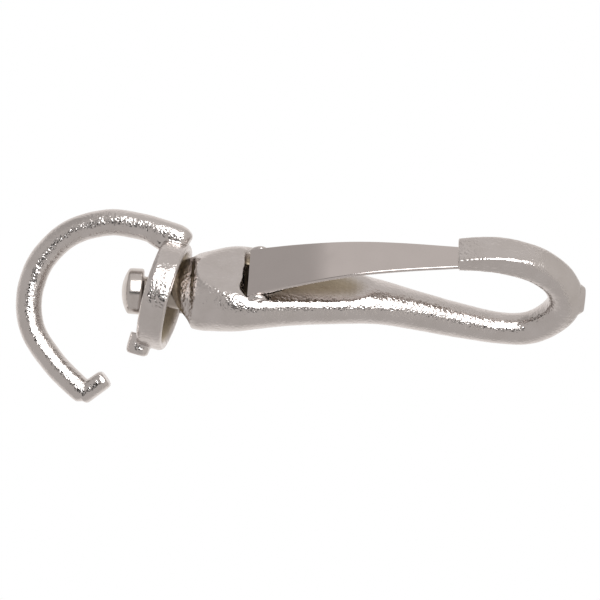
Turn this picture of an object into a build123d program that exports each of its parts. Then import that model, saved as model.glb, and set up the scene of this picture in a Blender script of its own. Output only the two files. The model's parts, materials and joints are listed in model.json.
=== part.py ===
from build123d import *
from math import cos, sin, radians
import os

os.makedirs("parts", exist_ok=True)

# Swivel hook: a cast open eye, a headed steel stud, a cast hook and a leaf-spring gate.
# The stud's centre line is the Z axis, with the eye at the top and the hook hanging below.
# The hook is drawn in the XZ plane with its gate towards +X. Units are millimetres.
# "Depth" is measured straight down from the underside of the stud's head.

stud_top_z = -14.8
shank_diameter = 4.8
head_diameter = 7.3
head_rim_height = 2.3
head_dome_height = 1.1
head_edge_radius = 0.5
tail_diameter = 6.6
tail_height = 1.4

web_centre_depth = 2.05
web_thickness = 1.5
collar_diameter = 18.1
collar_height = 3.9
cup_mouth_diameter = 15.4
cup_floor_diameter = 12.6
collar_hole_diameter = 6.0
collar_edge_radius = 0.9
eye_tilt = 13.6
eye_tilt_heading = 73.7
ring_heading = 45.0
bar_diameter = 4.3
corner_radius = 2.3
tab_diameter = 4.1
tab_length = 4.6
lug_size = 3.6

neck_top_depth = 5.85
neck_top_radius = 3.1
bore_diameter = 4.96
pocket_top_depth = 11.3
pocket_bottom_depth = 21.0
pocket_width = 7.6
core_bottom_depth = 18.0
seat_top_depth = 15.7
seat_bottom_depth = 38.0
seat_offset = 5.1
face_top_depth = 4.0
face_offset = 6.0
nose_end_depth = 49.0
nose_width = 5.4
nose_roof_offset = 12.4
channel_width = 4.6
channel_bottom_depth = 52.8

spring_thickness = 0.6
spring_root_width = 10.5
spring_tip_width = 3.8
spring_root_depth = 16.6
spring_tip_depth = 51.6


def at(depth, offset):
    """A point in the hook's plane: how far down, and how far towards the gate."""
    return (offset, 0, stud_top_z - depth)


# ---- Swivel eye: cupped collar, C-shaped bar, inturned tab and stub lug in one casting ----
tilt_direction = Vector(cos(radians(eye_tilt_heading)), sin(radians(eye_tilt_heading)), 0)
eye_axis = Vector(0, 0, 1) * cos(radians(eye_tilt)) + tilt_direction * sin(radians(eye_tilt))
ring_normal = Vector(cos(radians(ring_heading)), -sin(radians(ring_heading)), 0)
ring_side = eye_axis.cross(ring_normal).normalized()
web_centre = Vector(0, 0, stud_top_z - web_centre_depth)
collar_plane = Plane(origin=web_centre, x_dir=ring_side, z_dir=eye_axis)
ring_plane = Plane(origin=web_centre, x_dir=ring_side, z_dir=ring_side.cross(eye_axis))
cup_plane = Plane(origin=web_centre, x_dir=collar_plane.y_dir, z_dir=ring_side)
collar_top = web_thickness / 2
collar_bottom = collar_top - collar_height

with BuildPart() as swivel_eye:
    # The collar is a shallow upturned cup whose web carries the stud's head.
    with BuildSketch(cup_plane):
        with BuildLine():
            Polyline(
                (collar_hole_diameter / 2, collar_top),
                (collar_diameter / 2, collar_top),
                (collar_diameter / 2, collar_bottom),
                (cup_mouth_diameter / 2, collar_bottom),
                (cup_floor_diameter / 2, -collar_top),
                (collar_hole_diameter / 2, -collar_top),
                close=True,
            )
        make_face()
    revolve(axis=Axis(collar_plane.origin, collar_plane.z_dir))
    rims = swivel_eye.edges().filter_by(GeomType.CIRCLE).sort_by(SortBy.RADIUS)[-2:]
    fillet(rims, collar_edge_radius)

    # The bar leaves the collar's side, goes over the top and comes down the far side.
    with BuildLine(ring_plane) as bar_line:
        root = Line((8.9, -1.2), (9.2, 5.0))
        shoulder = TangentArc(root @ 1, (0.6, 18.6), tangent=root % 1)
        crown = TangentArc(shoulder @ 1, (-11.4, 16.6), tangent=shoulder % 1)
        TangentArc(crown @ 1, (-18.2, 6.9), tangent=crown % 1)
    with BuildSketch(Plane(bar_line.line @ 0, z_dir=bar_line.line % 0)):
        Circle(bar_diameter / 2)
    sweep(path=bar_line.line)
    with Locations(bar_line.line @ 0):
        Sphere(corner_radius)

    # The end of the bar turns in towards the collar as a short flat-ended tab.
    tab_direction = ring_plane.from_local_coords((0.8, -0.6)) - ring_plane.origin
    tab_plane = Plane(bar_line.line @ 1, z_dir=tab_direction)
    with Locations(tab_plane):
        Sphere(corner_radius)
    with BuildSketch(tab_plane):
        Circle(tab_diameter / 2)
    extrude(amount=tab_length)

    # The lug is the stub that the tab meets when the eye is squeezed shut.
    lug_root = ring_plane.from_local_coords((-7.2, 0.1))
    with BuildSketch(Plane(lug_root, x_dir=eye_axis, z_dir=-ring_side)):
        RectangleRounded(lug_size, lug_size, 1.2)
    extrude(amount=3.3)
swivel_eye.part.label = "swivel_eye"

# ---- Swivel stud: round-headed pin, its tail riveted over inside the hook's pocket ----
tail_top_depth = pocket_top_depth + 0.05
dome_radius = (head_diameter**2 / 4 + head_dome_height**2) / (2 * head_dome_height)
with BuildPart() as swivel_stud:
    with BuildSketch(Plane.XZ):
        with BuildLine():
            Polyline(
                (0, stud_top_z + head_rim_height + head_dome_height),
                (0, stud_top_z - tail_top_depth - tail_height),
                (tail_diameter / 2 - 0.9, stud_top_z - tail_top_depth - tail_height),
                (tail_diameter / 2, stud_top_z - tail_top_depth - 0.5),
                (tail_diameter / 2, stud_top_z - tail_top_depth),
                (shank_diameter / 2, stud_top_z - tail_top_depth),
                (shank_diameter / 2, stud_top_z),
                (head_diameter / 2, stud_top_z),
                (head_diameter / 2, stud_top_z + head_rim_height),
            )
            RadiusArc(
                (head_diameter / 2, stud_top_z + head_rim_height),
                (0, stud_top_z + head_rim_height + head_dome_height),
                -dome_radius,
            )
        make_face()
    revolve(axis=Axis.Z)
    full_circles = swivel_stud.edges().filter_by(lambda edge: edge.is_closed)
    fillet(full_circles.sort_by(Axis.Z)[-1], head_edge_radius)
swivel_stud.part.label = "swivel_stud"

# ---- Hook body: flared neck, bulb, tapering spine, bend and nose in one casting ----
# Each station: depth, offset of the centre towards the gate, half width, half thickness.
hook_stations = [
    (7.2, 0.5, 5.5, 5.5),
    (10.2, 1.2, 6.3, 6.3),
    (14.6, 2.1, 6.75, 6.75),
    (18.5, 2.2, 6.3, 6.3),
    (24.0, 2.0, 5.4, 5.4),
    (30.5, 1.6, 4.45, 4.45),
    (37.3, 0.9, 3.5, 3.5),
    (43.7, -0.6, 3.05, 3.05),
    (50.1, -2.1, 2.75, 2.75),
    (56.5, -3.2, 2.5, 2.5),
    (61.5, -2.7, 2.6, 2.6),
    (65.2, 0.5, 2.75, 2.75),
    (66.6, 4.2, 2.85, 2.8),
    (65.3, 8.1, 2.85, 2.7),
    (62.2, 10.9, 2.85, 2.5),
    (58.9, 12.2, 2.85, 2.1),
    (55.6, 12.75, 2.8, 1.75),
    (52.4, 12.8, 2.8, 1.45),
    (nose_end_depth, 12.45, 2.8, 1.15),
]
centre_points = [at(depth, offset) for depth, offset, width, thickness in hook_stations]
with BuildLine() as hook_line:
    Spline(*centre_points, tangents=(Vector(0.12, 0, -1), Vector(-0.14, 0, 1)))

with BuildPart() as hook_body:
    for point, station in zip(centre_points, hook_stations):
        heading = hook_line.edge().tangent_at(hook_line.edge().param_at_point(point))
        with BuildSketch(Plane(point, x_dir=(0, 1, 0), z_dir=heading)):
            Ellipse(station[2], station[3] - 0.001)
    loft()
    end_edges = hook_body.edges().filter_by(lambda edge: edge.is_closed)
    fillet(end_edges.sort_by(Axis.Z)[-1], 0.9)

    # The neck flares out of the shank's line into the bulb's flat shoulder.
    with BuildSketch(Plane.XZ):
        with BuildLine():
            Line((0, stud_top_z - neck_top_depth), (neck_top_radius, stud_top_z - neck_top_depth))
            ThreePointArc(
                (neck_top_radius, stud_top_z - neck_top_depth),
                (3.6, stud_top_z - 6.75),
                (5.0, stud_top_z - 7.6),
            )
            Polyline(
                (5.0, stud_top_z - 7.6),
                (5.0, stud_top_z - 9.0),
                (0, stud_top_z - 9.0),
                (0, stud_top_z - neck_top_depth),
            )
        make_face()
    revolve(axis=Axis.Z)

    # The bulb is flat on the gate side, the seat is a step lower, and a cored pocket lies beneath it.
    with BuildSketch(Plane.XZ.offset(-9)):
        with BuildLine():
            Polyline(
                (face_offset, stud_top_z - face_top_depth),
                (12, stud_top_z - face_top_depth),
                (12, stud_top_z - seat_bottom_depth),
                (4.25, stud_top_z - seat_bottom_depth),
                (3.9, stud_top_z - 33.0),
                (4.5, stud_top_z - 25.0),
                (seat_offset, stud_top_z - 19.5),
                (seat_offset, stud_top_z - seat_top_depth),
                (face_offset, stud_top_z - seat_top_depth),
                close=True,
            )
        make_face()
    extrude(amount=18, mode=Mode.SUBTRACT)
    with BuildSketch(Plane.XZ.offset(-pocket_width / 2)):
        with BuildLine():
            Polyline(
                (0, stud_top_z - pocket_top_depth),
                (4.2, stud_top_z - pocket_top_depth),
                (6.5, stud_top_z - seat_top_depth - 0.2),
                (6.5, stud_top_z - pocket_bottom_depth - 1.5),
                (5.0, stud_top_z - pocket_bottom_depth - 1.2),
                (0, stud_top_z - core_bottom_depth),
                close=True,
            )
        make_face()
    extrude(amount=pocket_width, mode=Mode.SUBTRACT)
    with BuildSketch(Plane.XY.offset(stud_top_z - pocket_top_depth)):
        Circle(pocket_width / 2)
    extrude(amount=-(core_bottom_depth - pocket_top_depth), mode=Mode.SUBTRACT)
    with BuildSketch(Plane.XY.offset(stud_top_z - neck_top_depth)):
        Circle(bore_diameter / 2)
    extrude(amount=-(pocket_top_depth - neck_top_depth), mode=Mode.SUBTRACT)

    # Two small lips are staked over the spring's corners.
    with BuildSketch(Plane.XY.offset(stud_top_z - 18.8)):
        with Locations((5.65, 5.65), (5.65, -5.65)):
            Rectangle(2.4, 0.6)
        with Locations((6.9, 5.4), (6.9, -5.4)):
            Rectangle(0.4, 1.1)
    extrude(amount=1.6)

    # The nose has flat sides and a channel that hides the spring's tip.
    with BuildSketch(Plane.XY.offset(stud_top_z - nose_end_depth)):
        with Locations((12.5, nose_width / 2 + 1), (12.5, -nose_width / 2 - 1)):
            Rectangle(6, 2)
    extrude(amount=-9.5, mode=Mode.SUBTRACT)
    with BuildSketch(Plane.YZ.offset(nose_roof_offset)):
        with Locations((0, stud_top_z - (nose_end_depth + channel_bottom_depth) / 2)):
            Rectangle(channel_width, channel_bottom_depth - nose_end_depth)
    extrude(amount=-4, mode=Mode.SUBTRACT)

    # The stub where the casting was broken off its runner stands on the outer bend.
    with BuildSketch(Plane.XY.offset(stud_top_z - 68.6)):
        with Locations((4.2, 0)):
            SlotCenterToCenter(1.0, 3.2)
    extrude(amount=-0.9)
hook_body.part.label = "hook_body"

# ---- Gate spring: one tapering leaf of spring steel, bowed outwards ----
spring_curve_points = [at(16.6, 5.5), at(24.3, 7.95), at(32.2, 9.9), at(40.1, 11.0), at(51.6, 11.85)]
with BuildPart() as gate_spring:
    with BuildLine() as spring_curve:
        Spline(*spring_curve_points)
    spring_start = Plane(
        spring_curve.line @ 0, x_dir=(0, 1, 0), z_dir=spring_curve.line % 0
    )
    with BuildSketch(spring_start):
        Rectangle(spring_root_width + 1, spring_thickness)
    sweep(path=spring_curve.line)
    with BuildSketch(Plane.YZ):
        with BuildLine():
            Polyline(
                (spring_root_width / 2, stud_top_z - spring_root_depth + 1),
                (spring_tip_width / 2, stud_top_z - spring_tip_depth - 1),
                (2 * spring_root_width, stud_top_z - spring_tip_depth - 1),
                (2 * spring_root_width, stud_top_z - spring_root_depth + 1),
                close=True,
            )
        make_face()
        mirror(about=Plane.YZ)
    extrude(amount=20, mode=Mode.SUBTRACT)
gate_spring.part.label = "gate_spring"

export_step(swivel_eye.part, "parts/swivel_eye.step")
export_step(swivel_stud.part, "parts/swivel_stud.step")
export_step(hook_body.part, "parts/hook_body.step")
export_step(gate_spring.part, "parts/gate_spring.step")
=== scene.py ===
# %% [markdown]
# # A nickel-plated swivel hook
# The object is a spring snap from a strap maker's bench: an open cast eye that is squeezed shut on a
# strap, a headed stud that lets the hook spin, a cast hook, and one leaf of spring steel as its gate.
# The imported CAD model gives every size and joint, so the first cell loads it and keeps its box.

# %% Load the frame
import json
import math

import bmesh
import bpy
import numpy as np
from mathutils import Matrix, Vector, noise


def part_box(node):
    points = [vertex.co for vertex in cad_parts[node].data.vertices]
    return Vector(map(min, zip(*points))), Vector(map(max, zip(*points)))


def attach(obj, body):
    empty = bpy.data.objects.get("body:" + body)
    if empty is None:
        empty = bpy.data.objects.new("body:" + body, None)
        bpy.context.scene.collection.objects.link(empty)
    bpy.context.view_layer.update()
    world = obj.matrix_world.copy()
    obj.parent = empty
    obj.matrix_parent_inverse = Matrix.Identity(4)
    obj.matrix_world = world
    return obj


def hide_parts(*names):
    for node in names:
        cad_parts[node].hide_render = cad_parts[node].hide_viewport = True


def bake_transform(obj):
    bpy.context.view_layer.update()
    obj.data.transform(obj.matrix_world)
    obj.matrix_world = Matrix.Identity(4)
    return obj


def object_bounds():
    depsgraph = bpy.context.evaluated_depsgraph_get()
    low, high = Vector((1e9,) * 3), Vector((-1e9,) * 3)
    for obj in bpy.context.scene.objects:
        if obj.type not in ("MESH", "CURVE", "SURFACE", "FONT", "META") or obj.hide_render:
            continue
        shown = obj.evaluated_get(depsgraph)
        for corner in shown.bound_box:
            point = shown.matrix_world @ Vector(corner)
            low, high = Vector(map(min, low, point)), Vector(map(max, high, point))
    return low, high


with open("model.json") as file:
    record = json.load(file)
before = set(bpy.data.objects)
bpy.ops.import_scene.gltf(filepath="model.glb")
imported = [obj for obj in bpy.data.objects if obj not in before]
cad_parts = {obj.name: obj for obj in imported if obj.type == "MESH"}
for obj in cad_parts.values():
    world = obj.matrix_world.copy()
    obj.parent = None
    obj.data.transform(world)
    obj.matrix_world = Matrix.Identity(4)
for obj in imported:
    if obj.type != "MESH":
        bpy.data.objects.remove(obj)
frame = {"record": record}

cad_box = [list(corner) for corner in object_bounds()]
print("CAD box, mm:", [[round(1000 * v, 1) for v in corner] for corner in cad_box])

# %% [markdown]
# ## Where things are
# Three joints say where everything sits. The eye rocks on the collar's web, the hook spins on the
# stud, and the gate turns about its root. From the rocking joint we get the eye's own axis: it leans
# against its stop at rest, by half of the joint's range. Working sizes are in millimetres, measured
# down from the stud's head, and one helper turns them into Blender's metres.

# %% Axes and measures
MM = 0.001
joints = {joint["name"]: joint for joint in frame["record"]["behaviour"]["joints"]}
stud_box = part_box("swivel_stud")
head_height = 3.4
head_underside = stud_box[1][2] / MM - head_height

rock = joints["eye_rock"]
lean = math.radians(rock["range_deg"][1] / 2)
eye_axis = Matrix.Rotation(lean, 3, Vector(rock["axis"])) @ Vector((0, 0, 1))
ring_heading = math.radians(45)
ring_normal = Vector((math.cos(ring_heading), -math.sin(ring_heading), 0))
ring_side = eye_axis.cross(ring_normal).normalized()
ring_depth = ring_side.cross(eye_axis)
web_centre = Vector(rock["pos_m"])


def in_hook(depth, offset, across=0.0):
    """Millimetres in the hook's plane to metres: down from the head, towards the gate, across."""
    return Vector((offset, across, head_underside - depth)) * MM


def in_eye(side, height, across=0.0):
    """Millimetres in the ring's plane to metres: sideways, up the eye's axis, and across."""
    return web_centre + (ring_side * side + eye_axis * height + ring_depth * across) * MM


print("head underside, mm:", round(head_underside, 2), " lean, degrees:", math.degrees(lean))

# %% [markdown]
# ## Drawing castings from rings
# A casting like this is a bar whose thickness and direction keep changing. We describe it by a few
# stations, let a smooth curve run through them, and lay a ring of points at each step. A superellipse
# makes the ring: power 2 is round, and higher powers are squarer, which the hook's nose needs.

# %% Smooth stations and rings
def smooth_rows(rows, steps):
    """A Catmull-Rom curve through rows of numbers, so position and thickness change together."""
    rows = np.array(rows, float)
    padded = np.vstack([2 * rows[0] - rows[1], rows, 2 * rows[-1] - rows[-2]])
    made = []
    for before, start, end, after in zip(padded, padded[1:], padded[2:], padded[3:]):
        for t in np.linspace(0, 1, steps, endpoint=False):
            slope = (end - before) * t
            curve = (2 * before - 5 * start + 4 * end - after) * t * t
            twist = (3 * start - before - 3 * end + after) * t**3
            made.append(0.5 * (2 * start + slope + curve + twist))
    made.append(rows[-1])
    return np.array(made)


def ring_of(centre, side, up, half_width, half_height, power=2.0, count=48):
    """Points of one superellipse ring round a centre."""
    points = []
    for k in range(count):
        angle = 2 * math.pi * k / count
        c, s = math.cos(angle), math.sin(angle)
        x = math.copysign(abs(c) ** (2 / power), c) * half_width
        y = math.copysign(abs(s) ** (2 / power), s) * half_height
        points.append(centre + side * x + up * y)
    return points


def add_rings(mesh, rings):
    """Skin a list of rings with four-sided faces and close both ends."""
    rows = [[mesh.verts.new(point) for point in ring] for ring in rings]
    for low, high in zip(rows, rows[1:]):
        for k in range(len(low)):
            n = (k + 1) % len(low)
            mesh.faces.new((low[k], low[n], high[n], high[k]))
    mesh.faces.new(list(reversed(rows[0])))
    mesh.faces.new(rows[-1])


def add_bar(mesh, rows, place, across, steps=8, count=48):
    """A bar through stations of (x, y, half width, half height, power) in the plane given by place."""
    path = smooth_rows(rows, steps)
    centres = [place(row[0], row[1]) for row in path]
    rings = []
    for k, row in enumerate(path):
        before, after = centres[max(k - 1, 0)], centres[min(k + 1, len(centres) - 1)]
        up = (after - before).normalized().cross(across)
        rings.append(ring_of(centres[k], across, up, row[2] * MM, row[3] * MM, row[4], count))
    add_rings(mesh, rings)


def to_object(mesh, name):
    """Turn mesh data being built into an object in the scene, with its faces pointing outwards."""
    bmesh.ops.recalc_face_normals(mesh, faces=mesh.faces)
    data = bpy.data.meshes.new(name)
    mesh.to_mesh(data)
    mesh.free()
    made = bpy.data.objects.new(name, data)
    bpy.context.collection.objects.link(made)
    return made


# %% [markdown]
# ## Turned shapes
# The collar, the stud and the bore are all round about an axis. A lathe helper spins a profile of
# (radius, height) points, and a rounding helper softens a profile's corners first, because no corner
# of a plated casting is truly sharp and a soft corner is what catches a line of light.

# %% Lathe and rounded corners
def rounded(profile, radius, steps=5):
    """Replace each inner corner of an open profile by a small arc."""
    points = [Vector(p) for p in profile]
    made = [points[0]]
    for before, corner, after in zip(points, points[1:], points[2:]):
        reach_in = min(radius, (before - corner).length / 2.2)
        reach_out = min(radius, (after - corner).length / 2.2)
        start = corner + (before - corner).normalized() * reach_in
        end = corner + (after - corner).normalized() * reach_out
        for k in range(steps + 1):
            t = k / steps
            made.append(start * (1 - t) ** 2 + corner * 2 * t * (1 - t) + end * t * t)
    made.append(points[-1])
    return made


def add_lathe(mesh, profile, centre, axis, closed_loop=False, count=96):
    """Spin (radius, height) points in millimetres about an axis; zero radius closes an end."""
    side = axis.orthogonal().normalized()
    up = axis.cross(side)
    rows = []
    for radius, height in profile:
        middle = centre + axis * height * MM
        if radius < 1e-6:
            rows.append([mesh.verts.new(middle)])
        else:
            ring = ring_of(middle, side, up, radius * MM, radius * MM, count=count)
            rows.append([mesh.verts.new(point) for point in ring])
    pairs = list(zip(rows, rows[1:])) + ([(rows[-1], rows[0])] if closed_loop else [])
    for low, high in pairs:
        for k in range(count):
            n = (k + 1) % count
            if len(low) == 1:
                mesh.faces.new((low[0], high[n], high[k]))
            elif len(high) == 1:
                mesh.faces.new((low[k], low[n], high[0]))
            else:
                mesh.faces.new((low[k], low[n], high[n], high[k]))


# %% [markdown]
# ## From parts to one casting
# A pattern maker glues simple shapes together and sands the joints. We do the same: cut the hollows
# with Boolean modifiers, then let a voxel remesh fuse everything into one skin, and relax it so that
# inner corners get the small fillets that molten metal always leaves.

# %% Carve, fuse and relax
def use_modifier(target, kind, **settings):
    """Add one modifier with its settings and apply it at once."""
    modifier = target.modifiers.new(kind.lower(), kind)
    for key, value in settings.items():
        setattr(modifier, key, value)
    bpy.context.view_layer.objects.active = target
    with bpy.context.temp_override(object=target, active_object=target):
        bpy.ops.object.modifier_apply(modifier=modifier.name)


def carve(target, cutter):
    """Subtract a cutter from a piece and throw the cutter away."""
    use_modifier(target, "BOOLEAN", operation="DIFFERENCE", object=cutter, solver="EXACT")
    bpy.data.objects.remove(cutter)


def join_into(target, extra):
    """Put another object's mesh into the target's mesh."""
    both = bmesh.new()
    both.from_mesh(target.data)
    both.from_mesh(extra.data)
    both.to_mesh(target.data)
    both.free()
    bpy.data.objects.remove(extra)


def fuse(target, voxel_mm, relax_steps):
    """One skin from overlapping closed shapes, then relaxed to soften its edges."""
    use_modifier(target, "REMESH", mode="VOXEL", voxel_size=voxel_mm * MM, use_smooth_shade=True)
    use_modifier(target, "SMOOTH", factor=0.5, iterations=relax_steps)
    for polygon in target.data.polygons:
        polygon.use_smooth = True
    print(target.name, "faces:", len(target.data.polygons))


# %% [markdown]
# ## Cast grain
# These hooks are cast in sand, so the plating sits on a skin of tiny lumps. The larger lumps are real
# shape, so we move the mesh itself along its normals by a few hundredths of a millimetre.

# %% Lumps in the skin
def point_array(target, kind="co"):
    """All points, or all point normals, of a piece as rows of x, y, z."""
    source = target.data.vertices if kind == "co" else target.data.vertex_normals
    values = np.empty(3 * len(source))
    source.foreach_get("co" if kind == "co" else "vector", values)
    return values.reshape(-1, 3)


def roughen(target, lump_mm, height_mm, seed):
    """Move each point along its normal by smooth noise of a given lump size and height."""
    points, normals = point_array(target), point_array(target, "normal")
    lumps = []
    for point in points / (lump_mm * MM) + seed * 7.3:
        here = Vector(point)
        lumps.append(noise.noise(here) + 0.5 * noise.noise(here * 2.3))
    moved = points + normals * np.array(lumps)[:, None] * height_mm * MM
    target.data.vertices.foreach_set("co", moved.ravel())
    target.data.update()


# %% [markdown]
# ## The hook casting
# The body starts as a thin neck, flares into a hollow bulb, tapers to the spine, turns round the
# bowl and ends in a nose. Each station holds depth, offset, half width, half thickness and squareness.

# %% Hook bar
hook_stations = [
    (5.85, 0.0, 3.05, 3.05, 2),
    (6.35, 0.02, 3.2, 3.2, 2),
    (6.8, 0.15, 4.1, 3.7, 2),
    (7.1, 0.4, 5.6, 4.4, 2),
    (7.5, 0.55, 6.2, 4.6, 2),
    (8.6, 0.65, 6.8, 5.05, 2),
    (10.6, 1.05, 7.1, 5.5, 2),
    (14.6, 1.95, 7.9, 5.4, 2),
    (18.5, 2.2, 7.5, 4.85, 2),
    (24.0, 2.0, 6.3, 4.1, 2),
    (30.5, 1.6, 5.1, 3.6, 2),
    (37.3, 0.9, 3.9, 3.1, 2),
    (43.7, -0.6, 3.05, 3.05, 2),
    (50.1, -2.1, 2.75, 2.75, 2),
    (56.5, -3.2, 2.5, 2.5, 2),
    (61.5, -2.7, 2.6, 2.6, 2),
    (65.2, 0.5, 2.75, 2.75, 2),
    (66.45, 4.2, 2.8, 2.8, 2),
    (65.05, 7.95, 2.7, 2.7, 2.2),
    (62.05, 10.7, 2.6, 2.4, 3.2),
    (58.9, 12.05, 2.6, 2.0, 5.5),
    (55.6, 12.75, 2.62, 1.7, 10),
    (52.4, 12.8, 2.65, 1.4, 13),
    (49.0, 12.45, 2.65, 1.1, 13),
]
hook_mesh = bmesh.new()
add_bar(hook_mesh, hook_stations, in_hook, Vector((0, 1, 0)), steps=8, count=64)
hook_casting = to_object(hook_mesh, "hook_casting")
print("hook stations:", len(hook_stations))

# %% [markdown]
# ## The hollows in the hook
# The bulb is cut flat on the gate side, and a step lower is the seat for the spring's root. It is
# cored out beneath, so that the stud's tail can be riveted over inside. The nose has a channel for
# the spring's tip. Each hollow is one cutter shape.

# %% Seat, pocket, bore and channel
def add_block(mesh, corners_low, corners_high):
    """A block between two four-point outlines."""
    add_rings(mesh, [corners_low, corners_high])


face_offset, seat_offset, wall_depth = 6.0, 5.1, 15.85
seat_cutter = bmesh.new()
seat_rings = []
for across in np.linspace(-9, 9, 73):
    # The wall bows away from the spring's end on one side, as the casting's core left it.
    bow = 0.45 * math.exp(-(((across + 2.8) / 1.5) ** 2))
    closing = 0.85 * min(max((-across - 4.0) / 1.3, 0), 1) ** 2
    wall = wall_depth - bow + closing
    outline = [
        (2.0, face_offset),
        (2.0, 16.0),
        (39.0, 16.0),
        (39.0, 4.4),
        (33.0, 3.9),
        (25.0, 4.5),
        (19.5, seat_offset),
        (wall, seat_offset),
        (wall, face_offset),
    ]
    seat_rings.append([in_hook(depth, offset, across) for depth, offset in outline])
add_rings(seat_cutter, seat_rings)
carve(hook_casting, to_object(seat_cutter, "seat_cutter"))

pocket_cutter = bmesh.new()
pocket_rings = [
    ring_of(in_hook(depth, offset, across), Vector((0, 1, 0)), Vector((1, 0, 0)), wide * MM, tall * MM, 3)
    for depth, offset, across, wide, tall in (
        (11.3, 0.2, 0.0, 3.8, 3.6),
        (12.0, 0.2, 0.0, 3.8, 3.6),
        (13.0, 0.7, 0.0, 3.8, 3.2),
        (15.0, 1.5, -0.6, 3.8, 3.7),
        (16.5, 2.6, -0.9, 3.5, 4.2),
        (19.5, 3.2, -0.6, 3.2, 3.2),
        (21.8, 4.2, 0.0, 2.6, 1.6),
    )
]
add_rings(pocket_cutter, pocket_rings)
carve(hook_casting, to_object(pocket_cutter, "pocket_cutter"))

bore_cutter = bmesh.new()
add_rings(
    bore_cutter,
    [
        ring_of(in_hook(depth, 0), Vector((1, 0, 0)), Vector((0, 1, 0)), 2.5 * MM, 2.5 * MM)
        for depth in (5.0, 12.0)
    ],
)
carve(hook_casting, to_object(bore_cutter, "bore_cutter"))

channel_cutter = bmesh.new()
channel_rings = [
    [in_hook(depth, offset, across) for offset, across in ((8, -2.3), (8, 2.3), (12.4, 2.3), (12.4, -2.3))]
    for depth in (47.0, 52.8)
]
add_rings(channel_cutter, channel_rings)
carve(hook_casting, to_object(channel_cutter, "channel_cutter"))
print("hook casting corners after carving:", len(hook_casting.data.vertices))

# %% [markdown]
# ## Soft rims
# The flat face meets the bulb's round side in a rim that tumbling has worn away. We fuse the casting
# first, then relax only the points near that rim, by giving each point a share from 0 to 1.

# %% Fuse and soften the rims
def soften(target, amounts, steps):
    """Relax only part of a piece: amounts holds one number from 0 to 1 for each of its points."""
    group = target.vertex_groups.new(name="soft")
    for k in np.nonzero(amounts > 0.01)[0]:
        group.add([int(k)], float(amounts[k]), "REPLACE")
    use_modifier(target, "SMOOTH", factor=0.5, iterations=steps, vertex_group="soft")
    target.vertex_groups.clear()


fuse(hook_casting, 0.14, 3)
points = point_array(hook_casting) / MM
depths = head_underside - points[:, 2]
beside = np.clip((abs(points[:, 1]) - 2.2) / 1.5, 0, 1)
along_rim = np.clip((depths - 7.5) / 1.5, 0, 1) * np.clip((40.0 - depths) / 4.0, 0, 1)
at_rim = beside * along_rim * np.clip(points[:, 0] + 0.5, 0, 1)
soften(hook_casting, at_rim, 120)
print("points on the softened rims:", int((at_rim > 0.01).sum()))

# %% [markdown]
# ## Lips and the runner stub
# Two lips of the casting are staked down over the spring's corners, and the bowl's outside keeps the
# stub where the casting was snapped off its runner. They are small lumps, fused with the rest.

# %% Lips and runner stub
lumps = bmesh.new()
for across in (-5.35, 5.35):
    lip_rows = [
        (16.5, 5.1, 0.35, 0.3, 2),
        (17.1, 5.5, 0.5, 0.42, 2),
        (18.3, 5.8, 0.5, 0.42, 2),
        (19.4, 5.5, 0.35, 0.3, 2),
    ]
    rings = []
    for depth, offset, wide, tall, power in smooth_rows(lip_rows, 4):
        centre = in_hook(depth, offset, across)
        rings.append(ring_of(centre, Vector((0, 1, 0)), Vector((1, 0, 0)), wide * MM, tall * MM, power, 24))
    add_rings(lumps, rings)
stub_rings = []
for depth, long, wide in ((67.5, 2.9, 2.0), (68.9, 2.5, 1.7), (69.45, 2.1, 1.3)):
    centre = in_hook(depth, 4.2)
    stub_rings.append(ring_of(centre, Vector((1, 0, 0)), Vector((0, 1, 0)), long * MM, wide * MM, 2.6, 32))
add_rings(lumps, stub_rings)
join_into(hook_casting, to_object(lumps, "lumps"))
fuse(hook_casting, 0.14, 2)
roughen(hook_casting, lump_mm=1.6, height_mm=0.02, seed=1)

# %% [markdown]
# ## The open eye
# The eye is one casting too: a cupped collar spun on the lathe, a C-shaped bar that grows from its
# side, a short tab turned in at the free end, and the stub lug that the tab meets once it is closed.

# %% Eye casting
eye_mesh = bmesh.new()
bar_rows = [
    (8.8, -2.9, 1.1, 1.1, 2.4),
    (9.0, -2.3, 1.9, 1.75, 2.4),
    (9.15, -1.2, 2.3, 2.15, 2.3),
    (9.35, 1.9, 2.3, 2.15, 2.2),
    (9.4, 5.4, 2.15, 2.1, 2),
    (8.65, 10.4, 2.1, 2.1, 2),
    (5.5, 15.7, 2.1, 2.1, 2),
    (0.7, 18.8, 2.1, 2.1, 2),
    (-3.9, 19.6, 2.1, 2.1, 2),
    (-8.1, 18.9, 2.1, 2.05, 2),
    (-11.7, 16.85, 2.1, 2.0, 2),
    (-15.2, 12.6, 2.1, 1.98, 2),
    (-17.45, 8.65, 2.1, 1.95, 2.1),
    (-18.3, 6.85, 2.0, 1.85, 2.3),
    (-18.65, 6.25, 1.6, 1.4, 2.3),
]
add_bar(eye_mesh, bar_rows, in_eye, ring_depth, steps=8, count=48)
tab_rows = [
    (-19.2, 7.3, 1.3, 0.9, 2.2),
    (-18.8, 7.0, 1.95, 1.45, 2.4),
    (-17.6, 6.05, 2.0, 1.5, 2.6),
    (-16.4, 5.1, 2.0, 1.5, 2.8),
    (-15.4, 4.3, 1.95, 1.42, 2.8),
    (-15.1, 4.05, 1.6, 1.15, 2.6),
]
add_bar(eye_mesh, tab_rows, in_eye, ring_depth, steps=6, count=48)
gusset_rows = [
    (6.9, 0.0, 1.6, 0.8, 2.4),
    (7.5, 1.0, 1.9, 1.0, 2.4),
    (8.0, 2.6, 1.8, 1.0, 2.2),
    (8.5, 4.4, 1.5, 0.8, 2.0),
]
add_bar(eye_mesh, gusset_rows, in_eye, ring_depth, steps=6, count=40)
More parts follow.
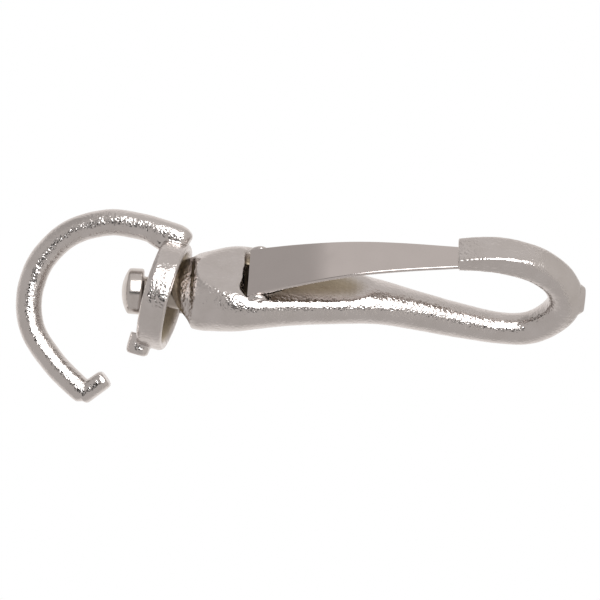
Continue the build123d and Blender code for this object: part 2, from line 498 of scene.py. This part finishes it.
lug_rows = [
    (-7.0, 0.35, 1.8, 1.8, 3),
    (-8.9, 0.4, 1.8, 1.8, 3),
    (-9.9, 0.45, 1.7, 1.7, 2.8),
    (-10.3, 0.45, 1.3, 1.3, 2.6),
]
add_bar(eye_mesh, lug_rows, in_eye, ring_depth, steps=6, count=40)
cup_profile = [
    (3.0, 0.0),
    (3.0, 0.75),
    (8.7, 0.75),
    (8.7, -3.4),
    (7.5, -3.4),
    (6.3, -0.75),
    (3.0, -0.75),
    (3.0, -0.1),
]
add_lathe(eye_mesh, rounded(cup_profile, 0.9), web_centre, eye_axis, closed_loop=True)
eye_casting = to_object(eye_mesh, "eye_casting")
fuse(eye_casting, 0.14, 5)
roughen(eye_casting, lump_mm=1.6, height_mm=0.02, seed=2)

# %% [markdown]
# ## The stud
# The stud is a turned steel pin with a low domed head. Its tail is hammered over inside the hook.

# %% Stud
dome_radius = 6.6
dome = []
for angle in np.linspace(0, math.asin(3.3 / dome_radius), 9):
    dome.append((dome_radius * math.sin(angle), head_height - dome_radius * (1 - math.cos(angle))))
stud_profile = dome + [
    (3.62, 2.25),
    (3.65, 0.0),
    (2.4, 0.0),
    (2.4, -11.35),
    (3.3, -11.35),
    (3.2, -12.2),
    (2.3, -12.75),
    (0.0, -12.75),
]
stud_mesh = bmesh.new()
add_lathe(stud_mesh, rounded(stud_profile, 0.45), in_hook(0, 0), Vector((0, 0, 1)), count=128)
stud_pin = to_object(stud_mesh, "stud_pin")
for polygon in stud_pin.data.polygons:
    polygon.use_smooth = True
print("stud faces:", len(stud_pin.data.polygons))

# %% [markdown]
# ## The leaf spring
# The gate is one leaf of spring steel: wide where it is held, narrow where it meets the nose, and
# bowed outwards. A stamped strip has a flat face and slightly rounded edges, so its ring is a thin
# rounded rectangle, laid at many short steps along it.

# %% Leaf
leaf_curve = smooth_rows([(16.6, 5.5), (24.3, 7.95), (32.2, 9.9), (40.1, 11.0), (51.6, 11.85)], 20)
half_leaf, edge_round = 0.3, 0.14
leaf_mesh = bmesh.new()
leaf_rings = []
for k, (depth, offset) in enumerate(leaf_curve):
    before, after = leaf_curve[max(k - 1, 0)], leaf_curve[min(k + 1, len(leaf_curve) - 1)]
    along = (in_hook(*after) - in_hook(*before)).normalized()
    outward = along.cross(Vector((0, 1, 0)))
    outward = outward if outward.x > 0 else -outward
    share = (depth - 15.6) / (52.6 - 15.6)
    half_width = 5.25 * (1 - share) + 1.9 * share
    ring = []
    for sx, sy, turn in ((1, 1, 0), (-1, 1, 90), (-1, -1, 180), (1, -1, 270)):
        for step in range(5):
            angle = math.radians(turn + step * 22.5)
            x = sx * (half_width - edge_round) + edge_round * math.cos(angle)
            y = sy * (half_leaf - edge_round) + edge_round * math.sin(angle)
            ring.append(in_hook(depth, offset) + Vector((0, x, 0)) * MM + outward * y * MM)
    leaf_rings.append(ring)
add_rings(leaf_mesh, leaf_rings)
gate_leaf = to_object(leaf_mesh, "gate_leaf")
for polygon in gate_leaf.data.polygons:
    polygon.use_smooth = True
edge_limit = math.radians(50)
use_modifier(gate_leaf, "BEVEL", width=0.06 * MM, segments=2, limit_method="ANGLE", angle_limit=edge_limit)
use_modifier(gate_leaf, "WEIGHTED_NORMAL", keep_sharp=False)
print("leaf rings:", len(leaf_rings))

# %% [markdown]
# ## Painted shade in the hollows
# Plating hardly gets into hollows. They are painted a darker brown, partly the brown of thin plating and
# partly painted shade, and made duller.
# We write one number per point, 0 outside and 1 deep in a hollow, and the materials read it.

# %% Recess numbers
def smooth_step(value, low, high):
    """0 below low, 1 above high, with an easy ramp between."""
    t = np.clip((value - low) / (high - low), 0, 1)
    return t * t * (3 - 2 * t)


def write_recess(target, amounts):
    """Store the recess number of every point of a piece."""
    layer = target.data.attributes.new("recess", "FLOAT", "POINT")
    layer.data.foreach_set("value", np.asarray(amounts, np.float32))


# On the hook: how far a point lies inside the bar's own outline.
hook_path = smooth_rows(hook_stations, 8)
path_xz = np.array([[row[1], head_underside - row[0]] for row in hook_path])
hook_points = point_array(hook_casting) / MM
gaps = np.full(len(hook_points), np.inf)
hook_reach = np.zeros(len(hook_points))
for middle, row in zip(path_xz, hook_path):
    gap = np.hypot(hook_points[:, 0] - middle[0], hook_points[:, 2] - middle[1])
    reach = ((gap / row[3]) ** row[4] + (abs(hook_points[:, 1]) / row[2]) ** row[4]) ** (1 / row[4])
    nearer = gap < gaps
    gaps[nearer], hook_reach[nearer] = gap[nearer], reach[nearer]
under_wall = smooth_step(head_underside - hook_points[:, 2], 15.6, 16.1)
write_recess(hook_casting, smooth_step(1 - hook_reach, 0.06, 0.32) * under_wall)

# On the eye: inside the cup, away from its rim.
from_web = point_array(eye_casting) / MM - np.array(web_centre) / MM
heights = from_web @ np.array(eye_axis)
radii = np.linalg.norm(from_web - heights[:, None] * np.array(eye_axis), axis=1)
write_recess(eye_casting, smooth_step(7.7 - radii, 0.0, 0.7) * smooth_step(-heights, 0.3, 0.9))

# On the stud: the shank and tail, below the head.
below_head = head_underside - point_array(stud_pin)[:, 2] / MM
write_recess(stud_pin, 0.55 * smooth_step(below_head, 0.0, 0.6))

# %% [markdown]
# ## Colours and nodes
# Colours are written as a designer reads them, in hex, and turned to the linear numbers that Blender
# works in. One helper adds any node, sets it up and links it, so a material reads like a recipe.

# %% Material helpers
def hex_colour(text):
    """An sRGB hex colour as linear red, green, blue and alpha."""
    parts = [int(text[k : k + 2], 16) / 255 for k in (1, 3, 5)]
    return [p / 12.92 if p <= 0.04045 else ((p + 0.055) / 1.055) ** 2.4 for p in parts] + [1.0]


def add_node(tree, kind, settings=None, inputs=None):
    """Add a node; each input is a plain value, or another node's output to link from."""
    node = tree.nodes.new(kind)
    for key, value in (settings or {}).items():
        setattr(node, key, value)
    for key, value in (inputs or {}).items():
        if isinstance(value, bpy.types.NodeSocket):
            tree.links.new(value, node.inputs[key])
        else:
            node.inputs[key].default_value = value
    return node


def grain_scale(size_mm):
    """Noise scale, in cells per metre, for lumps of a size in millimetres."""
    return 1 / (size_mm * MM)


def start_material(name):
    """An empty node material with its output, its shader and the object's own coordinates."""
    made = bpy.data.materials.new(name)
    made.use_nodes = True
    tree = made.node_tree
    tree.nodes.clear()
    shader = add_node(tree, "ShaderNodeBsdfPrincipled", inputs={"Metallic": 1.0})
    add_node(tree, "ShaderNodeOutputMaterial", inputs={"Surface": shader.outputs["BSDF"]})
    place = add_node(tree, "ShaderNodeTexCoord")
    return made, tree, shader, place.outputs["Object"]


# %% [markdown]
# ## Nickel-plated casting
# Nickel is a warm grey metal. Over a sand casting it stays bright but broken up: every tiny lump
# sends its own glint. Two sizes of lump break up the light, with wider dull patches of a few
# millimetres. The hollows are painted a darker brown and made duller: partly the brown of thin plating,
# partly painted shade.

# %% Nickel-plated sand casting
plated_casting, tree, shader, place = start_material("nickel_plated_sand_casting")
patches = add_node(
    tree,
    "ShaderNodeTexNoise",
    inputs={"Vector": place, "Scale": grain_scale(2.5), "Detail": 3.0},
)
# Fine moulding sand is about 0.2 mm across; the grain is drawn at 0.42 mm so that it shows.
grain = add_node(
    tree,
    "ShaderNodeTexNoise",
    inputs={"Vector": place, "Scale": grain_scale(0.42), "Detail": 1.5, "Roughness": 0.5},
)
pits = add_node(
    tree,
    "ShaderNodeTexNoise",
    inputs={"Vector": place, "Scale": grain_scale(1.3), "Detail": 2.0, "Roughness": 0.5},
)
recess = add_node(tree, "ShaderNodeAttribute", settings={"attribute_name": "recess"})
nickel = add_node(
    tree,
    "ShaderNodeMixRGB",
    inputs={"Fac": patches.outputs["Fac"], "Color1": hex_colour("#D6D1CF"), "Color2": hex_colour("#C3BDB9")},
)
# Hollows are painted a darker brown: partly the brown of thin plating, partly painted shade.
thin_plating_and_shade = add_node(
    tree,
    "ShaderNodeMixRGB",
    inputs={"Fac": recess.outputs["Fac"], "Color1": nickel.outputs["Color"], "Color2": hex_colour("#AB9F8B")},
)
shine = add_node(
    tree,
    "ShaderNodeMapRange",
    inputs={"Value": patches.outputs["Fac"], "From Min": 0.3, "From Max": 0.7, "To Min": 0.1, "To Max": 0.2},
)
dullness = add_node(
    tree,
    "ShaderNodeMath",
    settings={"operation": "MULTIPLY_ADD"},
    inputs={0: recess.outputs["Fac"], 1: 0.3, 2: shine.outputs["Result"]},
)
coarse = add_node(
    tree,
    "ShaderNodeBump",
    inputs={"Strength": 0.7, "Distance": 0.09 * MM, "Height": pits.outputs["Fac"]},
)
bump_fade = add_node(
    tree,
    "ShaderNodeMapRange",
    inputs={"Value": recess.outputs["Fac"], "To Min": 1.0, "To Max": 0.3},
)
fine = add_node(
    tree,
    "ShaderNodeBump",
    inputs={
        "Strength": bump_fade.outputs["Result"],
        "Distance": 0.09 * MM,
        "Height": grain.outputs["Fac"],
        "Normal": coarse.outputs["Normal"],
    },
)
tree.links.new(thin_plating_and_shade.outputs["Color"], shader.inputs["Base Color"])
tree.links.new(dullness.outputs["Value"], shader.inputs["Roughness"])
tree.links.new(fine.outputs["Normal"], shader.inputs["Normal"])

# %% [markdown]
# ## Nickel-plated steel stud
# The head is turned steel under the same plating, so it is smoother than the castings. The shank
# rubs in the collar and the neck, and below the head it is painted a darker brownish metal as painted shade
# inside them.

# %% Nickel-plated turned steel
plated_stud, tree, shader, place = start_material("nickel_plated_turned_steel")
patches = add_node(
    tree,
    "ShaderNodeTexNoise",
    inputs={"Vector": place, "Scale": grain_scale(1.2), "Detail": 3.0},
)
grain = add_node(
    tree,
    "ShaderNodeTexNoise",
    inputs={"Vector": place, "Scale": grain_scale(0.35), "Detail": 2.0},
)
recess = add_node(tree, "ShaderNodeAttribute", settings={"attribute_name": "recess"})
nickel = add_node(
    tree,
    "ShaderNodeMixRGB",
    inputs={"Fac": patches.outputs["Fac"], "Color1": hex_colour("#D3CECB"), "Color2": hex_colour("#BEB7B1")},
)
# Below the head the shank is painted a darker brownish metal: painted shade inside the collar and the neck.
shank_painted_shade = add_node(
    tree,
    "ShaderNodeMixRGB",
    inputs={"Fac": recess.outputs["Fac"], "Color1": nickel.outputs["Color"], "Color2": hex_colour("#7A6C55")},
)
shine = add_node(
    tree,
    "ShaderNodeMapRange",
    inputs={
        "Value": patches.outputs["Fac"],
        "From Min": 0.3,
        "From Max": 0.7,
        "To Min": 0.14,
        "To Max": 0.26,
    },
)
skin = add_node(
    tree,
    "ShaderNodeBump",
    inputs={"Strength": 0.4, "Distance": 0.02 * MM, "Height": grain.outputs["Fac"]},
)
tree.links.new(shank_painted_shade.outputs["Color"], shader.inputs["Base Color"])
tree.links.new(shine.outputs["Result"], shader.inputs["Roughness"])
tree.links.new(skin.outputs["Normal"], shader.inputs["Normal"])

# %% [markdown]
# ## Nickel-plated spring strip
# Rolled strip is smooth, so its plating is the brightest and cleanest surface here. Rolling leaves
# very fine streaks along its length, and handling leaves faint smears a few millimetres across.

# %% Nickel-plated rolled strip
plated_strip, tree, shader, place = start_material("nickel_plated_rolled_strip")
stretched = add_node(
    tree,
    "ShaderNodeMapping",
    inputs={"Vector": place, "Scale": (1.0, 1.0, 0.04)},
)
streaks = add_node(
    tree,
    "ShaderNodeTexNoise",
    inputs={"Vector": stretched.outputs["Vector"], "Scale": grain_scale(0.25), "Detail": 3.0},
)
smear = add_node(
    tree,
    "ShaderNodeTexNoise",
    inputs={"Vector": place, "Scale": grain_scale(4.0), "Detail": 4.0},
)
strip_colour = add_node(
    tree,
    "ShaderNodeMixRGB",
    inputs={"Fac": smear.outputs["Fac"], "Color1": hex_colour("#D4CDCA"), "Color2": hex_colour("#CCC5C2")},
)
strip_shine = add_node(
    tree,
    "ShaderNodeMapRange",
    inputs={"Value": smear.outputs["Fac"], "From Min": 0.35, "From Max": 0.7, "To Min": 0.06, "To Max": 0.12},
)
strip_skin = add_node(
    tree,
    "ShaderNodeBump",
    inputs={"Strength": 0.12, "Distance": 0.01 * MM, "Height": streaks.outputs["Fac"]},
)
tree.links.new(strip_colour.outputs["Color"], shader.inputs["Base Color"])
tree.links.new(strip_shine.outputs["Result"], shader.inputs["Roughness"])
tree.links.new(strip_skin.outputs["Normal"], shader.inputs["Normal"])

# %% [markdown]
# ## Handing each piece to the frame
# Each visual piece stands for one CAD node. The eye, stud and hook ride on their bodies; the leaf
# rides on none and stays fixed where it is drawn.

# %% Ride and replace
for piece, node, body, finish in (
    (eye_casting, "swivel_eye", "eye", plated_casting),
    (stud_pin, "swivel_stud", "stud", plated_stud),
    (hook_casting, "hook_body", "hook", plated_casting),
    (gate_leaf, "gate_spring", None, plated_strip),
):
    piece.data.materials.clear()
    piece.data.materials.append(finish)
    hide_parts(node)
    if body:
        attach(piece, body)
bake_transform(gate_leaf)
print("pieces placed:", [piece.name for piece in (eye_casting, stud_pin, hook_casting, gate_leaf)])

# %% [markdown]
# ## Floor
# The hook hangs, so the floor is a small pale disc well below it.

# %% Pale floor
floor_drop = 110 * MM
floor_radius = 260 * MM
floor_mesh = bmesh.new()
bmesh.ops.create_circle(floor_mesh, cap_ends=True, radius=floor_radius, segments=128)
floor = to_object(floor_mesh, "floor")
floor.location = (0, 0, cad_box[0][2] - floor_drop)
floor_paint = bpy.data.materials.new("pale_floor_paint")
floor_paint.use_nodes = True
floor_shader = floor_paint.node_tree.nodes["Principled BSDF"]
floor_shader.inputs["Base Color"].default_value = hex_colour("#F2F1EF")
floor_shader.inputs["Roughness"].default_value = 0.9
floor.data.materials.append(floor_paint)

# %% [markdown]
# ## Studio lamp
# Shiny metal shows the room more than it shows itself. One wide soft box, above the lens and towards
# the hook's lower end, is the only lamp, and its reflection makes the bright bands.

# %% Soft box
view_heading = math.radians(45)
to_lens = Vector((math.sin(view_heading), -math.cos(view_heading), 0))
frame_up_level = Vector((math.cos(view_heading), math.sin(view_heading), 0))
scene_middle = Vector((0, 0, head_underside - 24.8)) * MM


def add_softbox(name, direction, distance, size_x, size_y, power, long_axis):
    """An area lamp that faces the hook, with its long side along a given axis."""
    lamp = bpy.data.lights.new(name, "AREA")
    lamp.shape = "RECTANGLE"
    lamp.size, lamp.size_y = size_x, size_y
    lamp.energy = power
    made = bpy.data.objects.new(name, lamp)
    back = direction.normalized()
    x_axis = (long_axis - back * long_axis.dot(back)).normalized()
    y_axis = back.cross(x_axis)
    made.matrix_world = Matrix.Translation(scene_middle + back * distance) @ Matrix(
        (x_axis, y_axis, back)
    ).transposed().to_4x4()
    bpy.context.collection.objects.link(made)
    return made


down_the_hook = Vector((0, 0, -1))
key_direction = to_lens * 0.8 + frame_up_level * 0.41 + down_the_hook * 0.36
add_softbox("key_softbox", key_direction, 0.7, 0.8, 0.66, 11, down_the_hook)

# %% [markdown]
# ## The room round the hook
# The rest of what the metal reflects is painted in the world by direction: white paper behind the
# hook, a ceiling that is darker towards the eye's end, and a dark card beside the soft box that
# gives the bright bands a dark edge. Each part is a ramp on how far a direction points one way.

# %% Directions in the room
world = bpy.data.worlds.new("studio_room")
bpy.context.scene.world = world
world.use_nodes = True
room = world.node_tree
room.nodes.clear()
sky = add_node(room, "ShaderNodeTexCoord").outputs["Generated"]


shares = {}
for name, direction in (("front", to_lens), ("top", frame_up_level), ("right", down_the_hook)):
    node = add_node(
        room,
        "ShaderNodeVectorMath",
        settings={"operation": "DOT_PRODUCT"},
        inputs={0: sky, 1: direction},
    )
    shares[name] = node.outputs["Value"]

# %% [markdown]
# ## Levels of the room
# A table lists the ramps: which direction each follows, where it starts and ends, and its two
# levels. The card is where all five of its ramps are 1, so they are multiplied together.

# %% Ramps, card and levels
ramps = {}
for name, along, low, high, start, end in (
    ("card_left", "right", -0.33, -0.27, 0.0, 1.0),
    ("card_right", "right", 0.6, 0.5, 0.0, 1.0),
    ("card_bottom", "top", -0.26, -0.21, 0.0, 1.0),
    ("card_top", "top", 0.5, 0.4, 0.0, 1.0),
    ("card_front", "front", 0.0, 0.1, 0.0, 1.0),
    ("paper", "front", -0.15, -0.75, 0.0, 1.0),
    ("ceiling", "top", 0.45, 0.7, 0.0, 1.0),
    ("near_side", "right", -0.35, -0.31, 0.5, 0.72),
):
    node = add_node(
        room,
        "ShaderNodeMapRange",
        inputs={"Value": shares[along], "From Min": low, "From Max": high, "To Min": start, "To Max": end},
    )
    ramps[name] = node.outputs["Result"]
card = ramps["card_left"]
for name in ("card_right", "card_bottom", "card_top", "card_front"):
    node = add_node(
        room,
        "ShaderNodeMath",
        settings={"operation": "MULTIPLY"},
        inputs={0: card, 1: ramps[name]},
    )
    card = node.outputs["Value"]
wall_level, card_level = 0.6, 0.015
level = add_node(room, "ShaderNodeMix", inputs={0: ramps["ceiling"], 2: wall_level, 3: ramps["near_side"]})
level = add_node(room, "ShaderNodeMix", inputs={0: ramps["paper"], 2: level.outputs[0], 3: 1.0})
level = add_node(room, "ShaderNodeMix", inputs={0: card, 2: level.outputs[0], 3: card_level})
room_light = add_node(
    room,
    "ShaderNodeBackground",
    inputs={"Color": hex_colour("#FFFAF7"), "Strength": level.outputs[0]},
)
seen = add_node(room, "ShaderNodeLightPath")
paper_white = add_node(
    room,
    "ShaderNodeBackground",
    inputs={"Color": hex_colour("#FFFFFF"), "Strength": 1.0},
)
choice = add_node(
    room,
    "ShaderNodeMixShader",
    inputs={0: seen.outputs["Is Camera Ray"], 1: room_light.outputs[0], 2: paper_white.outputs[0]},
)
add_node(room, "ShaderNodeOutputWorld", inputs={"Surface": choice.outputs["Shader"]})
print("room nodes:", len(room.nodes))

# %% [markdown]
# ## Camera
# The hook is drawn lying on its side in the frame, so the camera is level, looks across the hook's
# plane at 45 degrees, and is rolled until the stud's axis lies almost along the frame. A long lens
# from 0.6 m away keeps the shapes free of perspective.

# %% Camera
frame_width = 94.8 * MM
lens_distance = 0.6
tilt = math.radians(3.5)
up_z = Vector((0, 0, 1))
frame_right = -up_z * math.cos(tilt) + frame_up_level * math.sin(tilt)
frame_up = frame_up_level * math.cos(tilt) + up_z * math.sin(tilt)
lens = bpy.data.cameras.new("portrait_camera")
lens.sensor_width = 36
lens.lens = lens.sensor_width * lens_distance / frame_width
lens.clip_start, lens.clip_end = 0.05, 10
camera = bpy.data.objects.new("portrait_camera", lens)
aim = scene_middle + frame_up_level * 0.2 * MM
camera.matrix_world = Matrix.Translation(aim + to_lens * lens_distance) @ Matrix(
    (frame_right, frame_up, to_lens)
).transposed().to_4x4()
bpy.context.collection.objects.link(camera)
bpy.context.scene.camera = camera
bpy.context.scene.view_settings.view_transform = "Standard"
print("lens, mm:", round(lens.lens, 1))
